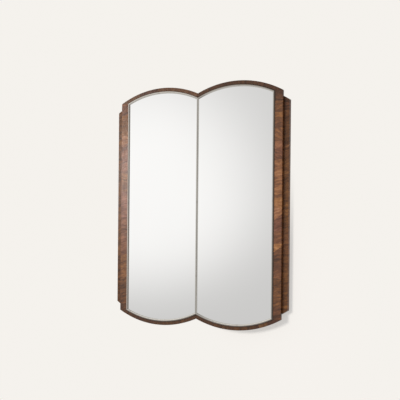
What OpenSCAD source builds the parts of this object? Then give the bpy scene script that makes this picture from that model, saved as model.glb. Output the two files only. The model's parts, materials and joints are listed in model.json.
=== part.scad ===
// Double-arched wall mirror. Two mirror panes stand side by side in a flat walnut
// front frame, each under its own shallow arch, trimmed with half-round metal bead.
// The frame sits on a lower, wider carcass whose sides show as set-back wings.
// X runs to the right, Y into the wall, Z up. The wall is the plane Y = 0, and the
// origin is the middle of the wall clip's row of screw holes.

/* [Front frame] */
// Width of the front frame across its straight sides
frame_w = 800; // [660:10:940]
// Height of the front frame over the crowns of the arches
frame_h = 1080; // [940:10:1280]
// Radius of the outer edge of each arch
arch_r = 439; // [400:1:520]
// Width of the wood on the straight sides
stile_w = 35; // [28:1:45]
// Width of the wood round the arches
arch_band = 16; // [12:1:22]
// Thickness of the frame in front of the ground panel
face_t = 6; // [5.5:0.5:9]
// Width of the frame's outer lip, which hides the ground panel's edge
lip_w = 5; // [3:0.5:8]

/* [Panes and beads] */
// Thickness of the mirror glass
glass_t = 4; // [3:0.5:4.5]
// Gap between the two panes, under the centre bead
pane_gap = 1; // [0.5:0.5:3]
// Width of the half-round bead
bead_w = 10; // [6:0.5:11]
// Thickness of the mounting tape
tape_t = 0.8; // [0.5:0.1:1]
// Width of each strip of mounting tape
tape_w = 25; // [15:1:40]
// Distance between the strips of tape on a pane
tape_pitch = 115; // [80:5:120]
// How far the tape ends below the crown
tape_margin = 110; // [90:5:200]

/* [Carcass] */
// Thickness of the ground panel behind the panes
panel_t = 6; // [4:0.5:9]
// Depth of the carcass members, front to back
carcass_t = 22; // [20:1:36]
// How far each wing shows beyond the front frame
wing_w = 24.5; // [15:0.5:35]
// How far the carcass arches sit below the frame's arches
step_drop = 24; // [20:1:40]
// Full width of each wing board
wing_board_w = 60; // [50:1:75]
// Height of the top and bottom rails at the valley
rail_h = 45; // [40:1:60]
// Width of the centre mullion
mullion_w = 60; // [50:1:90]
// Thickness of the centre mullion
mullion_t = 15; // [13:1:17]
// Height of the hanging rail and the lower cross rail
cross_rail_h = 80; // [66:1:100]
// Distance of the clip's seat below the crowns of the top arches
hang_drop = 240; // [190:10:340]
// Distance of the lower cross rail's middle above the crowns of the bottom arches
lower_rail_rise = 240; // [190:10:340]

/* [Wall clip] */
// Length of both halves of the wall clip
clip_len = 500; // [440:10:620]
// Thickness of the clip's metal
clip_t = 2; // [1.5:0.1:2.5]
// Height of the clip's flange
clip_flange = 25; // [20:1:30]
// Height of the clip's hook
clip_hook = 12; // [8:1:16]
// Radius of the holes for the wall screws
wall_hole_r = 2.5; // [2:0.25:3.5]
// Distance between the outer wall screws
wall_outer_pitch = 400; // [300:10:420]
// Distance between the inner wall screws
wall_inner_pitch = 160; // [100:10:240]
// Distance between the outer screws of the mirror's half of the clip
clip_screw_span = 400; // [300:10:420]

/* [Fixings] */
// Radius of the carcass dowels
dowel_r = 4; // [3:0.5:5]
// Length of the carcass dowels
dowel_len = 40; // [30:2:42]
// Distance from a rail's straight edge to its nearer dowel
dowel_edge = 12; // [9:1:14]
// Distance between the two dowels of a top or bottom rail's joint
dowel_pitch = 16; // [13:1:17]
// Distance between the two dowels of a mullion or cross rail joint
wide_dowel_pitch = 36; // [28:1:44]
// Radius of the screws' shanks
screw_r = 1.75; // [1.5:0.25:2.25]
// Length of the screws
screw_len = 17; // [12:1:18]
// Radius of the screws' heads
screw_head_r = 3.6; // [3:0.1:4.5]
// Height of the countersunk heads
sunk_head_h = 2.2; // [1.8:0.1:3]
// Height of the clip screws' pan heads
pan_head_h = 1.8; // [1.2:0.1:2]
// Distance between the panel screws up the wings
panel_screw_pitch = 160; // [120:10:170]
// Radius of the felt wall pads
pad_r = 11; // [8:1:16]
// Thickness of the felt wall pads
pad_t = 2; // [1.5:0.5:4]
// Distance of the felt pads from the ends of the wings
pad_margin = 36; // [25:1:60]

/* [Fits] */
// Clearance round the panes inside the frame
pane_fit = 0.4; // [0.2:0.1:0.8]
// Clearance round the ground panel inside the lip
panel_fit = 0.2; // [0.1:0.1:0.5]
// Clearance of dowels and screws in their holes
hole_fit = 0.1; // [0.05:0.05:0.2]
// Free play between the two halves of the clip
clip_play = 0.4; // [0.2:0.1:0.8]

/* [Hidden] */
$fn = 96;

walnut = "#7b5743";
birch = "#c9a878";
mirror_silver = "#dfe2e2";
nickel = "#b5b1a9";
steel = "#8d8f92";

// Depths, counted from the wall towards the room
carcass_back = -pad_t;
carcass_front = carcass_back - carcass_t;
panel_front = carcass_front - panel_t;
face_front = panel_front - face_t;
glass_back = panel_front - tape_t;
glass_front = glass_back - glass_t;

// Front elevation, counted from the middle of the mirror
frame_half = frame_w / 2;
sight_half = frame_half - stile_w;
crown_x = sight_half / 2;
arch_cz = frame_h / 2 - arch_r;
sight_r = arch_r - arch_band;
bead_r = bead_w / 2;
bead_mid_r = sight_r - bead_r;
bead_inner_r = sight_r - bead_w;

// Carcass
carcass_half = frame_half + wing_w;
wing_in = carcass_half - wing_board_w;
rail_low = arch_z(arch_r, 0, step_drop) - rail_h;
lap_y = carcass_front + mullion_t / 2;
carcass_mid = carcass_front + carcass_t / 2;

// Wall clip: both halves together are as deep as their metal and their play
clip_depth = 2 * clip_t + 1.5 * clip_play;
hang_h = frame_h / 2 - hang_drop;
lower_rail_h = frame_h / 2 - lower_rail_rise;
hang_rail_mid = hang_h + clip_hook / 2;
clip_flange_mid = clip_t + (clip_flange - clip_t) / 2;
clip_screw_z = hang_h + clip_hook + clip_flange_mid;
hang_z = hang_h - clip_flange_mid;

// Panel screws: up both wings past the dowels' ends, along both rails, up the mullion
wing_screw_x = wing_in + dowel_len / 2 + 1.4 * screw_head_r;
wing_screw_rows = [-2.5:1:2.5];
rail_screw_shares = [-0.75, -0.33, 0.33, 0.75];
mullion_screw_shares = [-1, -0.33, 0.33, 1];
panel_screw_places = concat(
    [for (side = [-1, 1], row = wing_screw_rows)
        [side * wing_screw_x, row * panel_screw_pitch]],
    [for (end = [-1, 1], share = rail_screw_shares)
        [share * wing_in, end * (rail_low + rail_h / 2)]],
    [for (share = mullion_screw_shares) [0, share * panel_screw_pitch]]
);
clip_screw_x = [for (share = [-1, -1 / 3, 1 / 3, 1]) share * clip_screw_span / 2];
wall_hole_x = [-wall_outer_pitch / 2, -wall_inner_pitch / 2, wall_inner_pitch / 2,
    wall_outer_pitch / 2];

// Height of an arch of radius r above the middle of the mirror, at a place x
function arch_z(r, x, drop = 0) =
    arch_cz - drop + sqrt(pow(r, 2) - pow(x - crown_x, 2));

// Where the beads are mitred: at the corner beside the stile, and in the valley
corner_out = [sight_half, arch_z(sight_r, sight_half)];
corner_in = [sight_half - bead_w, arch_z(bead_inner_r, sight_half - bead_w)];
valley_mid = [0, arch_z(bead_mid_r, 0)];
valley_in = [bead_r, arch_z(bead_inner_r, bead_r)];
corner_reach = corner_out + 3 * (corner_out - corner_in);

// Puts a piece drawn about the middle of the mirror at its height on the wall
module hung() {
    translate([0, 0, -hang_z]) children();
}

// A board of thickness t with its rear face at y = back, drawn as a front elevation
module board(back, t) {
    translate([0, back, 0]) rotate([90, 0, 0]) linear_extrude(t) children();
}

// The half of a lobe above the mirror's middle, between x_in and x_out
module half_lobe(r, x_in, x_out, drop) {
    intersection() {
        translate([crown_x, arch_cz - drop]) circle(r);
        translate([x_in, 0]) square([x_out - x_in, frame_h]);
    }
}

// One lobe of the double arch, alike at top and bottom
module lobe(r, x_in, x_out, drop = 0) {
    half_lobe(r, x_in, x_out, drop);
    mirror([0, 1]) half_lobe(r, x_in, x_out, drop);
}

// The whole double-arched outline
module double_arch(r, half, drop = 0) {
    lobe(r, 0, half, drop);
    mirror([1, 0]) lobe(r, 0, half, drop);
}

// Right stile's front outline, cut from corner to corner at both ends
module stile_outline() {
    out_z = arch_z(arch_r, frame_half);
    in_z = arch_z(sight_r, sight_half);
    polygon([[sight_half, -in_z], [frame_half, -out_z], [frame_half, out_z],
        [sight_half, in_z]]);
}

// Upper right arch rail's front outline
module arch_rail_outline() {
    difference() {
        half_lobe(arch_r, 0, frame_half, 0);
        half_lobe(sight_r, 0, sight_half, 0);
        stile_outline();
    }
}

// A frame member, rebated at the back for the ground panel
module rebated() {
    board(panel_front, face_t) children();
    board(carcass_front, panel_t) difference() {
        children();
        lobe(arch_r - lip_w, 0, frame_half - lip_w);
    }
}

module stile() {
    color(walnut) hung() rebated() stile_outline();
}

module arch_rail() {
    color(walnut) hung() rebated() arch_rail_outline();
}

// Mirrors a top right piece to the other corners
module to_left() {
    mirror([1, 0, 0]) children();
}

module to_bottom() {
    hung() mirror([0, 0, 1]) translate([0, 0, hang_z]) children();
}

module ground_panel() {
    color(birch) hung() difference() {
        board(carcass_front, panel_t)
            double_arch(arch_r - lip_w - panel_fit, frame_half - lip_w - panel_fit);
        panel_screws_each() sunk_screw(hole_fit);
    }
}

module pane() {
    color(mirror_silver) hung() board(glass_back, glass_t)
        lobe(sight_r - pane_fit, pane_gap / 2, sight_half - pane_fit);
}

module pane_tape() {
    length = frame_h - 2 * tape_margin;
    color("white") hung() for (strip = [-1:1])
        translate([crown_x + strip * tape_pitch - tape_w / 2, glass_back, -length / 2])
            cube([tape_w, tape_t, length]);
}

// Half-round section with its flat side down
module half_round() {
    intersection() {
        circle(bead_r);
        translate([-bead_r, 0]) square([bead_w, bead_r]);
    }
}

// Straight bead up the middle of x
module upright_bead(x, half_len) {
    translate([x, glass_front, -half_len]) rotate([0, 0, 180])
        linear_extrude(2 * half_len) half_round();
}

// Full height prism over a front outline, thick enough for any bead
module bead_cut() {
    board(glass_front, bead_w) children();
}

module bead_side() {
    color(nickel) hung() intersection() {
        upright_bead(sight_half - bead_r, frame_h / 2);
        bead_cut() polygon([
            [corner_in.x, -corner_in.y], [corner_out.x, -corner_out.y],
            corner_out, corner_in
        ]);
    }
}

module bead_arch() {
    color(nickel) hung() intersection() {
        translate([crown_x, glass_front, arch_cz]) rotate([90, 0, 0])
            rotate_extrude() translate([bead_mid_r, 0]) half_round();
        bead_cut() polygon([
            valley_mid, [0, frame_h], [frame_w, frame_h], corner_reach, corner_in,
            [crown_x, 0], valley_in
        ]);
    }
}

module bead_centre() {
    color(nickel) hung() intersection() {
        upright_bead(0, frame_h / 2);
        bead_cut() polygon([
            valley_mid, valley_in, [valley_in.x, -valley_in.y], [0, -valley_mid.y],
            [-valley_in.x, -valley_in.y], [-valley_in.x, valley_in.y]
        ]);
    }
}

// Lays out the dowels that join the carcass, as centre lines along X or along Z
module carcass_dowel_set(r, length) {
    for (side = [-1, 1], end = [-1, 1]) {
        for (step = [0, 1])
            translate([side * wing_in, carcass_mid,
                end * (rail_low + dowel_edge + step * dowel_pitch)])
                rotate([0, 90, 0]) cylinder(h = length, r = r, center = true);
        translate([side * wide_dowel_pitch / 2, lap_y, end * rail_low])
            cylinder(h = length, r = r, center = true);
    }
    for (side = [-1, 1], z = [hang_rail_mid, -lower_rail_h], step = [-0.5, 0.5])
        translate([side * wing_in, carcass_mid, z + step * wide_dowel_pitch])
            rotate([0, 90, 0]) cylinder(h = length, r = r, center = true);
}

// Places a screw, drawn point upwards, at each hole of the ground panel
module panel_screws_each() {
    for (place = panel_screw_places)
        translate([place.x, panel_front, place.y]) rotate([-90, 0, 0]) children();
}

module sunk_screw(fit = 0) {
    cylinder(h = sunk_head_h, r1 = screw_head_r + fit, r2 = screw_r + fit);
    cylinder(h = screw_len + fit, r = screw_r + fit);
}

// Takes the dowel and panel screw holes out of a carcass member
module bored() {
    difference() {
        children();
        carcass_dowel_set(dowel_r + hole_fit, dowel_len + 2 * hole_fit);
        panel_screws_each() sunk_screw(hole_fit);
    }
}

module wing() {
    color(walnut) hung() bored()
        board(carcass_back, carcass_t) lobe(arch_r, wing_in, carcass_half, step_drop);
}

module carcass_top_rail() {
    color(birch) hung() bored() board(carcass_back, carcass_t) intersection() {
        double_arch(arch_r, wing_in, step_drop);
        translate([-wing_in, rail_low]) square([2 * wing_in, frame_h]);
    }
}

// A cross rail between the wings, as deep as the wall clip leaves room for
module cross_rail_blank(mid) {
    translate([-wing_in, carcass_front, mid - cross_rail_h / 2])
        cube([2 * wing_in, -clip_depth - carcass_front, cross_rail_h]);
}

module mullion_blank() {
    translate([-mullion_w / 2, carcass_front, -rail_low])
        cube([mullion_w, mullion_t, 2 * rail_low]);
}

// The crossing of the mullion and a cross rail, in front of or behind the lap
module lap_block(mid, front) {
    depth = front ? lap_y - carcass_front : -lap_y;
    translate([-mullion_w / 2, front ? carcass_front : lap_y, mid - cross_rail_h / 2])
        cube([mullion_w, depth, cross_rail_h]);
}

module cross_rail(mid) {
    color(birch) hung() bored() difference() {
        cross_rail_blank(mid);
        lap_block(mid, true);
        clip_screws_each() shank(hole_fit);
    }
}

module centre_mullion() {
    color(birch) hung() bored() difference() {
        mullion_blank();
        lap_block(hang_rail_mid, false);
        lap_block(-lower_rail_h, false);
    }
}

module carcass_dowels() {
    color(birch) hung() carcass_dowel_set(dowel_r, dowel_len);
}

module panel_screws() {
    color(steel) hung() panel_screws_each() sunk_screw();
}

// Section of one half of the clip, with its seat at the origin and its hook up
module clip_section() {
    hook_in = clip_t + clip_play;
    hook_out = 2 * clip_t + clip_play;
    polygon([[0, -clip_flange], [0, 0], [-hook_in, 0], [-hook_in, clip_hook],
        [-hook_out, clip_hook], [-hook_out, -clip_t], [-clip_t, -clip_t],
        [-clip_t, -clip_flange]]);
}

module clip_bar() {
    translate([-clip_len / 2, 0, 0]) rotate([90, 0, 90])
        linear_extrude(clip_len) clip_section();
}

// Places a clip screw, drawn point upwards, at each hole of the mirror's half
module clip_screws_each() {
    for (x = clip_screw_x)
        translate([x, clip_t - clip_depth, clip_screw_z]) rotate([90, 0, 0]) children();
}

module shank(fit = 0) {
    cylinder(h = screw_len + fit, r = screw_r + fit);
}

module clip_mirror_half() {
    color("silver") hung() difference() {
        translate([0, -clip_depth, hang_h + clip_hook]) rotate([180, 0, 0]) clip_bar();
        clip_screws_each() shank(hole_fit);
    }
}

module clip_wall_half() {
    color("silver") hung() difference() {
        translate([0, 0, hang_h]) clip_bar();
        for (x = wall_hole_x)
            translate([x, 1, hang_z]) rotate([90, 0, 0])
                cylinder(h = clip_t + 2, r = wall_hole_r);
    }
}

module clip_screws() {
    color(steel) hung() clip_screws_each() {
        shank();
        translate([0, 0, -pan_head_h]) cylinder(h = pan_head_h, r = screw_head_r);
    }
}

module wall_pads() {
    pad_x = carcass_half - wing_board_w / 2;
    pad_z = arch_z(arch_r, carcass_half, step_drop) - pad_margin;
    color("dimgray") hung() for (side = [-1, 1], end = [-1, 1])
        translate([side * pad_x, 0, end * pad_z]) rotate([90, 0, 0])
            cylinder(h = pad_t, r = pad_r);
}

to_left() stile();  // stile_left
stile();  // stile_right
to_left() arch_rail();  // arch_rail_top_left
arch_rail();  // arch_rail_top_right
to_left() to_bottom() arch_rail();  // arch_rail_bottom_left
to_bottom() arch_rail();  // arch_rail_bottom_right
ground_panel();
to_left() pane();  // pane_left
pane();  // pane_right
to_left() pane_tape();  // pane_tape_left
pane_tape();  // pane_tape_right
to_left() bead_side();  // bead_side_left
bead_side();  // bead_side_right
to_left() bead_arch();  // bead_top_left
bead_arch();  // bead_top_right
to_left() to_bottom() bead_arch();  // bead_bottom_left
to_bottom() bead_arch();  // bead_bottom_right
bead_centre();
to_left() wing();  // wing_left
wing();  // wing_right
carcass_top_rail();
to_bottom() carcass_top_rail();  // carcass_bottom_rail
centre_mullion();
cross_rail(hang_rail_mid);  // hanging_rail
cross_rail(-lower_rail_h);  // lower_cross_rail
carcass_dowels();
panel_screws();
clip_mirror_half();
clip_wall_half();
clip_screws();
wall_pads();
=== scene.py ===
import json
import math

import bmesh
import bpy
from bpy.props import FloatProperty, FloatVectorProperty, PointerProperty
from mathutils import Matrix, Vector

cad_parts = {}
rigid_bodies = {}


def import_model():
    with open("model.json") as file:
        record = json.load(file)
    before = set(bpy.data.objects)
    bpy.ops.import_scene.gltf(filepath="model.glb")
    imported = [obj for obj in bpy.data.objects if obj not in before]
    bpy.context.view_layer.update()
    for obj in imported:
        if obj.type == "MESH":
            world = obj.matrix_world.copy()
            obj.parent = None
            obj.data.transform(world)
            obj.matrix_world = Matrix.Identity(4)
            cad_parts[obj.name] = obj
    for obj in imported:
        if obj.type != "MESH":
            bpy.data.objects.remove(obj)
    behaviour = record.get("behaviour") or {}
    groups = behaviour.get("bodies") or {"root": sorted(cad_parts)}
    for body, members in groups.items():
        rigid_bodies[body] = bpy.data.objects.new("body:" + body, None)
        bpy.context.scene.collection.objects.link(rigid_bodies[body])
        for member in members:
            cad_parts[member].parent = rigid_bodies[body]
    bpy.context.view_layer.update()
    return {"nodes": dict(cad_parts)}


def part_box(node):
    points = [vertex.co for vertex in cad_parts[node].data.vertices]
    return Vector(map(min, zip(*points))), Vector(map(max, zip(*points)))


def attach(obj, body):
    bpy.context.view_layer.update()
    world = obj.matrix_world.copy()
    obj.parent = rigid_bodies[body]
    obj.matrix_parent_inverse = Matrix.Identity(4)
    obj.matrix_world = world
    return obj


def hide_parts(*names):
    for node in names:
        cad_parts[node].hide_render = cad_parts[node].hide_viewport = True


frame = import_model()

bl_info = {
    "name": "Double-arched wall mirror",
    "version": (1, 0, 0),
    "blender": (4, 5, 0),
    "location": "3D View > Sidebar > Wall Mirror",
    "description": "Models and finishes a walnut wall mirror with two arched panes",
    "category": "Object",
}

BODY = "root"
NODES = frame["nodes"]
CORNERS = [(side, end) for end in (1, -1) for side in (-1, 1)]
SIDE_NAME = {-1: "left", 1: "right"}
END_NAME = {1: "top", -1: "bottom"}
FACING_ROOM = (math.pi / 2, 0.0, 0.0)
FACING_ALONG = (0.0, math.pi / 2, 0.0)
MM = 0.001
NEAR = 1e-6             # points closer than this count as one
SHARP_ANGLE = math.radians(40)
SMOOTH_ANGLE = math.radians(32)
BLACK = (0.0, 0.0, 0.0, 1.0)
PLY_THICKNESS = 1.45 * MM
ABOVE_ZERO = 10.0       # lifts a coordinate clear of zero before it is folded into plies

# Studio and camera
PAPER_GAIN = (0.785, 0.97, 1.29, 1.0)   # evens the lit paper out with the glowing paper
ROOM_TINT = (1.008, 1.0, 0.994, 1.0)
LAMP_WHITE = (1.0, 0.99, 0.975)
WALL_LAMP = 0.697       # share of the soft lamp that throws the shadow on the wall
SHADOW_TALL = 1.5       # height of the place that takes shadow, over its width
SHADOW_FADE = (0.14, 0.42)
STUDIO_SPAN = 24.0
FLOOR_DROP = 1.5        # from the mirror's middle
CAMERA_TURNS = (("Z", 0.46903435), ("X", -0.00374592), ("Y", -0.00932835))
CAMERA_LENS = 63.0
CAMERA_SHIFT = 0.1

# Veneer
PACK = 4.0              # a signed value v of a leaf goes through a ramp as 0.5 + v / PACK
LEAN = 0.6              # share of a leaf's lean that its figure takes
SWAY = 0.024            # how far the figure wanders along the member
JOINT_WIDTH = 0.3 * MM

# The leaves of each member: where each starts along the member in millimetres, how light and
# how rosy it is, the lean of its figure and, where the joint that it starts with isn't square,
# the slant of that joint. The darker leaves at the top and bottom ends of the stiles and wings
# are painted shade, where the light falls off towards those ends
LEAVES = {
    "stile_right": (
        (-500, 0.16, 0.35, 0.5), (-432, 0.3, 0.0, 0.4), (-310, 0.32, 0.4, 0.3),
        (-245, 0.31, 0.2, 0.2), (-190, 0.82, 0.1, -0.3, 0.75), (-165, 0.43, 0.35, 0.1),
        (-110, 0.38, 0.75, 0.1), (-54, 0.74, 0.4, 0.5, 0.8), (-13, 0.78, 0.15, 0.0),
        (25, 0.64, 0.25, 0.2), (55, 0.61, 0.25, 0.1), (190, 0.38, 0.6, -0.5),
        (235, 0.64, 0.5, 0.4), (265, 0.43, 0.2, -0.6), (325, 0.28, 0.35, 0.2),
        (355, 0.4, 0.0, 0.1), (390, 0.31, 0.05, 0.6), (437, 0.14, 0.3, 0.1)),
    "stile_left": (
        (-500, 0.1, 0.1, 0.7), (-440, 0.24, 0.0, 0.7), (-330, 0.46, 0.1, 0.4),
        (-225, 0.51, 0.6, 0.3, 0.3), (-100, 0.58, 0.65, 0.2), (-50, 0.66, 0.8, 0.4),
        (70, 0.54, 0.25, 0.0), (155, 0.57, 0.65, 0.6), (292, 0.76, 0.4, 0.2, 0.3),
        (330, 0.51, 0.0, 0.2), (425, 0.42, 0.5, 0.2)),
    "wing_right": (
        (-500, 0.44, 0.0, 0.3), (-200, 0.52, 0.25, 0.2), (-70, 0.5, 0.0, 0.2),
        (190, 0.39, 0.2, 0.4), (255, 0.28, 0.0, 0.2), (395, 0.2, 0.5, 0.2)),
    "wing_left": (
        (-500, 0.21, 0.0, 0.3), (-235, 0.47, 0.0, 0.2), (-100, 0.47, 0.2, 0.3),
        (70, 0.43, 0.2, 0.2), (292, 0.52, 0.0, 0.2, 0.3), (330, 0.34, 0.0, 0.2)),
    "arch_rail_top_left": (
        (-200, 0.76, 0.3, 0.2), (22, 0.66, 0.8, 0.1), (120, 0.8, 0.25, 0.2)),
    "arch_rail_top_right": (
        (-200, 0.36, 0.15, 0.2), (110, 0.42, 0.4, 0.2)),
    "arch_rail_bottom_left": (
        (-200, 0.46, 0.1, 0.2), (30, 0.44, 0.65, 0.1), (60, 0.48, 0.1, 0.3), (96, 0.4, 0.85, 0.2),
        (125, 0.42, 0.2, 0.2)),
    "arch_rail_bottom_right": (
        (-200, 0.46, 0.05, 0.2), (106, 0.36, 0.9, 0.1), (120, 0.9, 0.0, 0.2),
        (160, 0.46, 0.8, 0.2)),
}

# Lines that the CAD solids give
STILE_LOW, STILE_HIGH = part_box("stile_right")
WING_LOW, WING_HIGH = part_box("wing_right")
PANE_LOW, PANE_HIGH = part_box("pane_right")
BEAD_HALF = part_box("bead_centre")[1].x
CROWN_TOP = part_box("arch_rail_top_right")[1].z
MIDDLE = (STILE_LOW.z + STILE_HIGH.z) / 2
FRAME_HALF = STILE_HIGH.x
SIGHT_HALF = STILE_LOW.x
CROWN_X = SIGHT_HALF / 2
STILE_REACH = FRAME_HALF * 1.3          # half the length that upright veneer is laid over
FACE_FRONT = STILE_LOW.y
FACE_BACK = STILE_HIGH.y
GLASS_FRONT = PANE_LOW.y
SHADOW_AT = Vector((FRAME_HALF, 0.0, STILE_LOW.z + 0.05))     # where the paper takes shadow
CAMERA_AT = Vector((1.41977, FACE_FRONT - 2.76736, MIDDLE - 0.139156))


def tone(code):
    """The linear colour of a web colour, with full cover."""
    parts = [int(code[i:i + 2], 16) / 255 for i in (1, 3, 5)]
    curved = [((p + 0.055) / 1.055) ** 2.4 if p > 0.04045 else p / 12.92 for p in parts]
    return (*curved, 1.0)


def colour(name, code, description):
    return FloatVectorProperty(name=name, description=description, subtype="COLOR",
                               size=4, min=0.0, max=1.0, default=tone(code))


def length(name, value, description):
    return FloatProperty(name=name, description=description, default=value,
                         unit="LENGTH", min=0.0, precision=4)


def strength(name, value, description):
    return FloatProperty(name=name, description=description, default=value, min=0.0)


class MirrorSizes(bpy.types.PropertyGroup):
    """Sizes that the solids' boxes don't give."""

    arch_radius: length("Arch radius", 0.439, "Radius of the outer edge of each arch")
    band_width: length("Arch band", 0.016, "Width of the wood round the arches")
    rebate_lip: length("Rebate lip", 0.005, "Width of the lip that hides the ground panel")
    face_thickness: length("Face thickness", 0.006, "Frame in front of the ground panel")
    step_drop: length("Step drop", 0.024, "How far the carcass arches sit below the frame's")
    pane_fit: length("Pane fit", 0.0004, "Clearance round the panes")
    face_ease: length("Face arris", 0.0007, "Rounding of the front frame's arrises")
    wing_ease: length("Wing arris", 0.0012, "Rounding of the wings' arrises")
    glass_ease: length("Glass arris", 0.0004, "Seamed edge of the panes")
    ply_ease: length("Plywood arris", 0.0005, "Rounding of the carcass members' arrises")
    clip_ease: length("Clip arris", 0.0003, "Rounding of the wall clip's arrises")
    head_height: length("Screw head", 0.0018, "Height of the clip screws' pan heads")
    shank_radius: length("Screw shank", 0.00175, "Radius of the clip screws' shanks")
    pad_ease: length("Pad arris", 0.0006, "Rounding of the felt pads' rims")


class VeneerLook(bpy.types.PropertyGroup):
    """Colours and figure of the cross-banded walnut."""

    tan: colour("Tan", "#a07750", "Palest golden bands")
    golden: colour("Golden", "#8b5f35", "Golden leaves")
    brown: colour("Brown", "#684428", "Middle brown leaves")
    umber: colour("Umber", "#3d2516", "Dark bands of the figure")
    dark: colour("Dark", "#2c1e15", "Pores, joints and shade")
    rosy: colour("Rosy", "#8b6053", "Palest bands of the rosy leaves")
    plum: colour("Plum", "#5f3a2e", "Middle tone of the rosy leaves")
    band_pitch: length("Band pitch", 0.013, "Distance between the broad bands of the figure")
    streak_pitch: length("Streak pitch", 0.0052, "Distance between the fine streaks")


class FinishLook(bpy.types.PropertyGroup):
    """Colours of the glass, metals, plywood and felt."""

    silvering: colour("Silvering", "#f5f5f4", "Reflection of the mirror panes")
    nickel: colour("Nickel", "#cfcbc3", "Half-round bead")
    tarnish: colour("Tarnish", "#6b645b", "Dull film at the foot of the bead")
    birch: colour("Birch", "#d6bd94", "Face of the plywood")
    birch_core: colour("Birch core", "#a5845a", "Darker plies on the plywood's edges")
    aluminium: colour("Aluminium", "#c9ccce", "Wall clip")
    zinc: colour("Zinc", "#c2bfae", "Screws")
    felt: colour("Felt", "#4b4a49", "Wall pads")
    tape: colour("Tape", "#e6e4df", "Foam mounting tape")
    beech: colour("Beech", "#cda677", "Dowels")


class StudioLook(bpy.types.PropertyGroup):
    """The room that the mirror is shown in."""

    paper: colour("Paper", "#f5f2ed", "Wall and floor")
    lamp: strength("Lamp", 4.2, "Strength of the soft lamp at the upper left")
    softness: FloatProperty(name="Softness", description="How wide the soft lamp looks",
                            default=math.radians(38), subtype="ANGLE")
    window: strength("Window", 0.35, "Extra brightness of the pale window")
    haze: strength("Haze", 0.67, "Brightness of the room round the window")
    fill: strength("Fill", 0.53, "Soft light from all round on dull pieces")
    bounce: strength("Bounce", 1.0, "Share of the fill that the wall throws back")
    rim: strength("Rim", 2.4, "Strength of the lamp behind, on the right")
    warmth: colour("Warmth", "#ffead4", "Tint of the fill")
    glow: colour("Glow", "#ffe5c6", "Tint of the lamp that throws the shadow on the wall")
    sheen: strength("Sheen", 0.16, "Strength of the low lamp in the lacquer")
    gleam: strength("Gleam", 0.4, "Strength of the lamp in the beads")


# Modelling

def settle():
    """Leaves edit mode with nothing selected."""
    if bpy.context.object and bpy.context.object.mode != "OBJECT":
        bpy.ops.object.mode_set(mode="OBJECT")
    bpy.ops.object.select_all(action="DESELECT")


def hold(piece):
    """Selects one piece and nothing else."""
    settle()
    piece.select_set(True)
    bpy.context.view_layer.objects.active = piece


def open_up():
    """Opens the active piece in edit mode with everything selected."""
    bpy.ops.object.mode_set(mode="EDIT")
    bpy.ops.mesh.select_all(action="SELECT")


def begin(name, primitive, **where):
    """Adds a primitive at its place and opens it with everything selected."""
    settle()
    primitive(**where)
    piece = bpy.context.object
    piece.name = piece.data.name = name
    bpy.ops.object.transform_apply(location=True, rotation=True, scale=True)
    open_up()
    return piece


def pick(kind, test):
    """Selects the faces or edges whose middle passes the test."""
    bpy.ops.mesh.select_mode(type="FACE" if kind == "faces" else "EDGE")
    bpy.ops.mesh.select_all(action="DESELECT")
    data = bpy.context.object.data
    mesh = bmesh.from_edit_mesh(data)
    for part in getattr(mesh, kind):
        middle = sum((v.co for v in part.verts), Vector()) / len(part.verts)
        if test(middle):
            part.select_set(True)
    bmesh.update_edit_mesh(data)


def keep(point, towards, fill=True):
    """Cuts the piece with a plane and keeps the side that it looks towards."""
    bpy.ops.mesh.select_mode(type="VERT")
    bpy.ops.mesh.select_all(action="SELECT")
    bpy.ops.mesh.bisect(plane_co=point, plane_no=towards, use_fill=fill, clear_inner=True)


def extrude(by):
    bpy.ops.mesh.extrude_region_move(TRANSFORM_OT_translate={"value": by})


def tidy_normals():
    bpy.ops.mesh.select_all(action="SELECT")
    bpy.ops.mesh.remove_doubles(threshold=NEAR)
    bpy.ops.mesh.normals_make_consistent(inside=False)


def ease(width, steps=3):
    """Rounds the sharp arrises and marks their faces in the attribute 'arris'."""
    data = bpy.context.object.data
    bpy.ops.mesh.select_mode(type="EDGE")
    bpy.ops.mesh.select_all(action="DESELECT")
    bpy.ops.mesh.edges_select_sharp(sharpness=SHARP_ANGLE)
    bpy.ops.mesh.bevel(offset=width, segments=steps, profile=0.5, affect="EDGES")
    mesh = bmesh.from_edit_mesh(data)
    layer = mesh.faces.layers.float.get("arris") or mesh.faces.layers.float.new("arris")
    for face in mesh.faces:
        face[layer] = 1.0 if face.select else 0.0
    bmesh.update_edit_mesh(data)


def duplicate(source, name):
    """Copies a piece, with a mesh of its own, and opens the copy with everything selected."""
    hold(source)
    bpy.ops.object.duplicate(linked=False)
    piece = bpy.context.object
    piece.name = piece.data.name = name
    open_up()
    return piece


def copy_to_corner(source, name, side, end):
    """Copies a piece of the top right corner to another corner."""
    piece = duplicate(source, name)
    bpy.ops.transform.resize(value=(side, 1.0, end), center_override=(0.0, 0.0, MIDDLE))
    if side * end < 0:
        bpy.ops.mesh.flip_normals()
    settle()
    return piece


def copy_to_corners(source, kind, suffix):
    """Gives the four pieces of a kind by corner, made from the top right one."""
    return {(side, end): source if side == end == 1 else
            copy_to_corner(source, f"{corner_name(kind, side, end)}_{suffix}", side, end)
            for side, end in CORNERS}


def corner_name(kind, side, end):
    return f"{kind}_{END_NAME[end]}_{SIDE_NAME[side]}"


def eased_copy(node, name, width):
    """Copies a CAD solid's mesh and rounds the arrises of the copy."""
    piece = bpy.data.objects.new(name, NODES[node].data.copy())
    piece.data.name = name
    bpy.context.collection.objects.link(piece)
    hold(piece)
    open_up()
    bpy.ops.mesh.remove_doubles(threshold=NEAR)
    bpy.ops.mesh.dissolve_limited(angle_limit=math.radians(0.5))
    ease(width, 2)
    settle()
    return piece


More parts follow.
